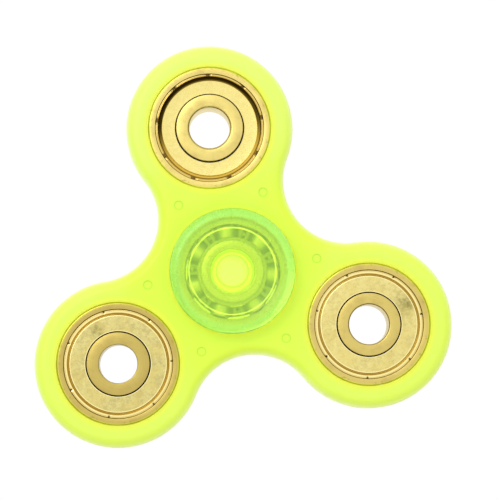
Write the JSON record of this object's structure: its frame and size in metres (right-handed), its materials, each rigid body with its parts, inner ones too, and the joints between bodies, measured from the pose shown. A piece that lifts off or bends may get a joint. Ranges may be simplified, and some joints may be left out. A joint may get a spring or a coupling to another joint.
{
  "type": "fidget spinner",
  "caption": "Tri-lobed hand spinner: a translucent moulded body on an open centre ball bearing with finger caps, and a shielded ball bearing in each arm as a weight.",
  "frame": {"origin": "on the spin axis, midway between the body's two faces", "axes": "+Z along the spin axis, out of the upper cap; +Y through the first arm; +X to its right"},
  "size_m": [0.0752, 0.0693, 0.0146],
  "materials": {
    "body_plastic": "satin",
    "cap_plastic": "satin",
    "gold_ring": "polished",
    "gold_shield": "satin",
    "centre_ring_steel": "polished",
    "cage_steel": "satin",
    "ball_steel": "polished"
  },
  "bodies": {
    "finger_caps": {"upper_cap": "cap_plastic", "lower_cap": "cap_plastic", "centre_inner_ring": "centre_ring_steel"},
    "rotor": {"spinner_body": "body_plastic", "centre_outer_ring": "centre_ring_steel", "weight1_outer_ring": "gold_ring", "weight1_upper_shield": "gold_shield", "weight1_lower_shield": "gold_shield", "weight2_outer_ring": "gold_ring", "weight2_upper_shield": "gold_shield", "weight2_lower_shield": "gold_shield", "weight3_outer_ring": "gold_ring", "weight3_upper_shield": "gold_shield", "weight3_lower_shield": "gold_shield"},
    "centre_cage": {"centre_upper_cage_half": "cage_steel", "centre_lower_cage_half": "cage_steel"},
    "centre_ball_1_body": {"centre_ball_1": "ball_steel"},
    "centre_ball_2_body": {"centre_ball_2": "ball_steel"},
    "centre_ball_3_body": {"centre_ball_3": "ball_steel"},
    "centre_ball_4_body": {"centre_ball_4": "ball_steel"},
    "centre_ball_5_body": {"centre_ball_5": "ball_steel"},
    "centre_ball_6_body": {"centre_ball_6": "ball_steel"},
    "centre_ball_7_body": {"centre_ball_7": "ball_steel"},
    "weight1_inner": {"weight1_inner_ring": "gold_ring"},
    "weight1_cage": {"weight1_upper_cage_half": "cage_steel", "weight1_lower_cage_half": "cage_steel"},
    "weight1_ball_1_body": {"weight1_ball_1": "ball_steel"},
    "weight1_ball_2_body": {"weight1_ball_2": "ball_steel"},
    "weight1_ball_3_body": {"weight1_ball_3": "ball_steel"},
    "weight1_ball_4_body": {"weight1_ball_4": "ball_steel"},
    "weight1_ball_5_body": {"weight1_ball_5": "ball_steel"},
    "weight1_ball_6_body": {"weight1_ball_6": "ball_steel"},
    "weight1_ball_7_body": {"weight1_ball_7": "ball_steel"},
    "weight2_inner": {"weight2_inner_ring": "gold_ring"},
    "weight2_cage": {"weight2_upper_cage_half": "cage_steel", "weight2_lower_cage_half": "cage_steel"},
    "weight2_ball_1_body": {"weight2_ball_1": "ball_steel"},
    "weight2_ball_2_body": {"weight2_ball_2": "ball_steel"},
    "weight2_ball_3_body": {"weight2_ball_3": "ball_steel"},
    "weight2_ball_4_body": {"weight2_ball_4": "ball_steel"},
    "weight2_ball_5_body": {"weight2_ball_5": "ball_steel"},
    "weight2_ball_6_body": {"weight2_ball_6": "ball_steel"},
    "weight2_ball_7_body": {"weight2_ball_7": "ball_steel"},
    "weight3_inner": {"weight3_inner_ring": "gold_ring"},
    "weight3_cage": {"weight3_upper_cage_half": "cage_steel", "weight3_lower_cage_half": "cage_steel"},
    "weight3_ball_1_body": {"weight3_ball_1": "ball_steel"},
    "weight3_ball_2_body": {"weight3_ball_2": "ball_steel"},
    "weight3_ball_3_body": {"weight3_ball_3": "ball_steel"},
    "weight3_ball_4_body": {"weight3_ball_4": "ball_steel"},
    "weight3_ball_5_body": {"weight3_ball_5": "ball_steel"},
    "weight3_ball_6_body": {"weight3_ball_6": "ball_steel"},
    "weight3_ball_7_body": {"weight3_ball_7": "ball_steel"}
  },
  "joints": [
    {"name": "rotor_spin", "type": "hinge", "parent": "finger_caps", "child": "rotor", "pos_m": [0, 0, 0], "axis": [0, 0, 1], "continuous": true},
    {"name": "centre_cage_spin", "type": "hinge", "parent": "finger_caps", "child": "centre_cage", "pos_m": [0, 0, 0], "axis": [0, 0, 1], "continuous": true},
    {"name": "centre_ball_1_roll", "type": "hinge", "parent": "centre_cage", "child": "centre_ball_1_body", "pos_m": [0, 0.0075, 0], "axis": [0, 0, 1], "continuous": true},
    {"name": "centre_ball_2_roll", "type": "hinge", "parent": "centre_cage", "child": "centre_ball_2_body", "pos_m": [-0.00586, 0.00468, 0], "axis": [0, 0, 1], "continuous": true},
    {"name": "centre_ball_3_roll", "type": "hinge", "parent": "centre_cage", "child": "centre_ball_3_body", "pos_m": [-0.00731, -0.00167, 0], "axis": [0, 0, 1], "continuous": true},
    {"name": "centre_ball_4_roll", "type": "hinge", "parent": "centre_cage", "child": "centre_ball_4_body", "pos_m": [-0.00325, -0.00676, 0], "axis": [0, 0, 1], "continuous": true},
    {"name": "centre_ball_5_roll", "type": "hinge", "parent": "centre_cage", "child": "centre_ball_5_body", "pos_m": [0.00325, -0.00676, 0], "axis": [0, 0, 1], "continuous": true},
    {"name": "centre_ball_6_roll", "type": "hinge", "parent": "centre_cage", "child": "centre_ball_6_body", "pos_m": [0.00731, -0.00167, 0], "axis": [0, 0, 1], "continuous": true},
    {"name": "centre_ball_7_roll", "type": "hinge", "parent": "centre_cage", "child": "centre_ball_7_body", "pos_m": [0.00586, 0.00468, 0], "axis": [0, 0, 1], "continuous": true},
    {"name": "weight1_inner_spin", "type": "hinge", "parent": "rotor", "child": "weight1_inner", "pos_m": [0, 0.0262, 0], "axis": [0, 0, 1], "continuous": true},
    {"name": "weight1_cage_spin", "type": "hinge", "parent": "rotor", "child": "weight1_cage", "pos_m": [0, 0.0262, 0], "axis": [0, 0, 1], "continuous": true},
    {"name": "weight1_ball_1_roll", "type": "hinge", "parent": "weight1_cage", "child": "weight1_ball_1_body", "pos_m": [0, 0.0337, 0], "axis": [0, 0, 1], "continuous": true},
    {"name": "weight1_ball_2_roll", "type": "hinge", "parent": "weight1_cage", "child": "weight1_ball_2_body", "pos_m": [-0.00586, 0.03088, 0], "axis": [0, 0, 1], "continuous": true},
    {"name": "weight1_ball_3_roll", "type": "hinge", "parent": "weight1_cage", "child": "weight1_ball_3_body", "pos_m": [-0.00731, 0.02453, 0], "axis": [0, 0, 1], "continuous": true},
    {"name": "weight1_ball_4_roll", "type": "hinge", "parent": "weight1_cage", "child": "weight1_ball_4_body", "pos_m": [-0.00325, 0.01944, 0], "axis": [0, 0, 1], "continuous": true},
    {"name": "weight1_ball_5_roll", "type": "hinge", "parent": "weight1_cage", "child": "weight1_ball_5_body", "pos_m": [0.00325, 0.01944, 0], "axis": [0, 0, 1], "continuous": true},
    {"name": "weight1_ball_6_roll", "type": "hinge", "parent": "weight1_cage", "child": "weight1_ball_6_body", "pos_m": [0.00731, 0.02453, 0], "axis": [0, 0, 1], "continuous": true},
    {"name": "weight1_ball_7_roll", "type": "hinge", "parent": "weight1_cage", "child": "weight1_ball_7_body", "pos_m": [0.00586, 0.03088, 0], "axis": [0, 0, 1], "continuous": true},
    {"name": "weight2_inner_spin", "type": "hinge", "parent": "rotor", "child": "weight2_inner", "pos_m": [-0.02269, -0.0131, 0], "axis": [0, 0, 1], "continuous": true},
    {"name": "weight2_cage_spin", "type": "hinge", "parent": "rotor", "child": "weight2_cage", "pos_m": [-0.02269, -0.0131, 0], "axis": [0, 0, 1], "continuous": true},
    {"name": "weight2_ball_1_roll", "type": "hinge", "parent": "weight2_cage", "child": "weight2_ball_1_body", "pos_m": [-0.02269, -0.0056, 0], "axis": [0, 0, 1], "continuous": true},
    {"name": "weight2_ball_2_roll", "type": "hinge", "parent": "weight2_cage", "child": "weight2_ball_2_body", "pos_m": [-0.02855, -0.00842, 0], "axis": [0, 0, 1], "continuous": true},
    {"name": "weight2_ball_3_roll", "type": "hinge", "parent": "weight2_cage", "child": "weight2_ball_3_body", "pos_m": [-0.03, -0.01477, 0], "axis": [0, 0, 1], "continuous": true},
    {"name": "weight2_ball_4_roll", "type": "hinge", "parent": "weight2_cage", "child": "weight2_ball_4_body", "pos_m": [-0.02594, -0.01986, 0], "axis": [0, 0, 1], "continuous": true},
    {"name": "weight2_ball_5_roll", "type": "hinge", "parent": "weight2_cage", "child": "weight2_ball_5_body", "pos_m": [-0.01944, -0.01986, 0], "axis": [0, 0, 1], "continuous": true},
    {"name": "weight2_ball_6_roll", "type": "hinge", "parent": "weight2_cage", "child": "weight2_ball_6_body", "pos_m": [-0.01538, -0.01477, 0], "axis": [0, 0, 1], "continuous": true},
    {"name": "weight2_ball_7_roll", "type": "hinge", "parent": "weight2_cage", "child": "weight2_ball_7_body", "pos_m": [-0.01683, -0.00842, 0], "axis": [0, 0, 1], "continuous": true},
    {"name": "weight3_inner_spin", "type": "hinge", "parent": "rotor", "child": "weight3_inner", "pos_m": [0.02269, -0.0131, 0], "axis": [0, 0, 1], "continuous": true},
    {"name": "weight3_cage_spin", "type": "hinge", "parent": "rotor", "child": "weight3_cage", "pos_m": [0.02269, -0.0131, 0], "axis": [0, 0, 1], "continuous": true},
    {"name": "weight3_ball_1_roll", "type": "hinge", "parent": "weight3_cage", "child": "weight3_ball_1_body", "pos_m": [0.02269, -0.0056, 0], "axis": [0, 0, 1], "continuous": true},
    {"name": "weight3_ball_2_roll", "type": "hinge", "parent": "weight3_cage", "child": "weight3_ball_2_body", "pos_m": [0.01683, -0.00842, 0], "axis": [0, 0, 1], "continuous": true},
    {"name": "weight3_ball_3_roll", "type": "hinge", "parent": "weight3_cage", "child": "weight3_ball_3_body", "pos_m": [0.01538, -0.01477, 0], "axis": [0, 0, 1], "continuous": true},
    {"name": "weight3_ball_4_roll", "type": "hinge", "parent": "weight3_cage", "child": "weight3_ball_4_body", "pos_m": [0.01944, -0.01986, 0], "axis": [0, 0, 1], "continuous": true},
    {"name": "weight3_ball_5_roll", "type": "hinge", "parent": "weight3_cage", "child": "weight3_ball_5_body", "pos_m": [0.02594, -0.01986, 0], "axis": [0, 0, 1], "continuous": true},
    {"name": "weight3_ball_6_roll", "type": "hinge", "parent": "weight3_cage", "child": "weight3_ball_6_body", "pos_m": [0.03, -0.01477, 0], "axis": [0, 0, 1], "continuous": true},
    {"name": "weight3_ball_7_roll", "type": "hinge", "parent": "weight3_cage", "child": "weight3_ball_7_body", "pos_m": [0.02855, -0.00842, 0], "axis": [0, 0, 1], "continuous": true}
  ],
  "couplings": [
    {"joint": "centre_cage_spin", "follows": "rotor_spin", "ratio": 0.6323},
    {"joint": "centre_ball_1_roll", "follows": "rotor_spin", "ratio": 1.7573},
    {"joint": "centre_ball_2_roll", "follows": "rotor_spin", "ratio": 1.7573},
    {"joint": "centre_ball_3_roll", "follows": "rotor_spin", "ratio": 1.7573},
    {"joint": "centre_ball_4_roll", "follows": "rotor_spin", "ratio": 1.7573},
    {"joint": "centre_ball_5_roll", "follows": "rotor_spin", "ratio": 1.7573},
    {"joint": "centre_ball_6_roll", "follows": "rotor_spin", "ratio": 1.7573},
    {"joint": "centre_ball_7_roll", "follows": "rotor_spin", "ratio": 1.7573},
    {"joint": "weight1_cage_spin", "follows": "weight1_inner_spin", "ratio": 0.3677},
    {"joint": "weight1_ball_1_roll", "follows": "weight1_inner_spin", "ratio": -1.7573},
    {"joint": "weight1_ball_2_roll", "follows": "weight1_inner_spin", "ratio": -1.7573},
    {"joint": "weight1_ball_3_roll", "follows": "weight1_inner_spin", "ratio": -1.7573},
    {"joint": "weight1_ball_4_roll", "follows": "weight1_inner_spin", "ratio": -1.7573},
    {"joint": "weight1_ball_5_roll", "follows": "weight1_inner_spin", "ratio": -1.7573},
    {"joint": "weight1_ball_6_roll", "follows": "weight1_inner_spin", "ratio": -1.7573},
    {"joint": "weight1_ball_7_roll", "follows": "weight1_inner_spin", "ratio": -1.7573},
    {"joint": "weight2_cage_spin", "follows": "weight2_inner_spin", "ratio": 0.3677},
    {"joint": "weight2_ball_1_roll", "follows": "weight2_inner_spin", "ratio": -1.7573},
    {"joint": "weight2_ball_2_roll", "follows": "weight2_inner_spin", "ratio": -1.7573},
    {"joint": "weight2_ball_3_roll", "follows": "weight2_inner_spin", "ratio": -1.7573},
    {"joint": "weight2_ball_4_roll", "follows": "weight2_inner_spin", "ratio": -1.7573},
    {"joint": "weight2_ball_5_roll", "follows": "weight2_inner_spin", "ratio": -1.7573},
    {"joint": "weight2_ball_6_roll", "follows": "weight2_inner_spin", "ratio": -1.7573},
    {"joint": "weight2_ball_7_roll", "follows": "weight2_inner_spin", "ratio": -1.7573},
    {"joint": "weight3_cage_spin", "follows": "weight3_inner_spin", "ratio": 0.3677},
    {"joint": "weight3_ball_1_roll", "follows": "weight3_inner_spin", "ratio": -1.7573},
    {"joint": "weight3_ball_2_roll", "follows": "weight3_inner_spin", "ratio": -1.7573},
    {"joint": "weight3_ball_3_roll", "follows": "weight3_inner_spin", "ratio": -1.7573},
    {"joint": "weight3_ball_4_roll", "follows": "weight3_inner_spin", "ratio": -1.7573},
    {"joint": "weight3_ball_5_roll", "follows": "weight3_inner_spin", "ratio": -1.7573},
    {"joint": "weight3_ball_6_roll", "follows": "weight3_inner_spin", "ratio": -1.7573},
    {"joint": "weight3_ball_7_roll", "follows": "weight3_inner_spin", "ratio": -1.7573}
  ]
}
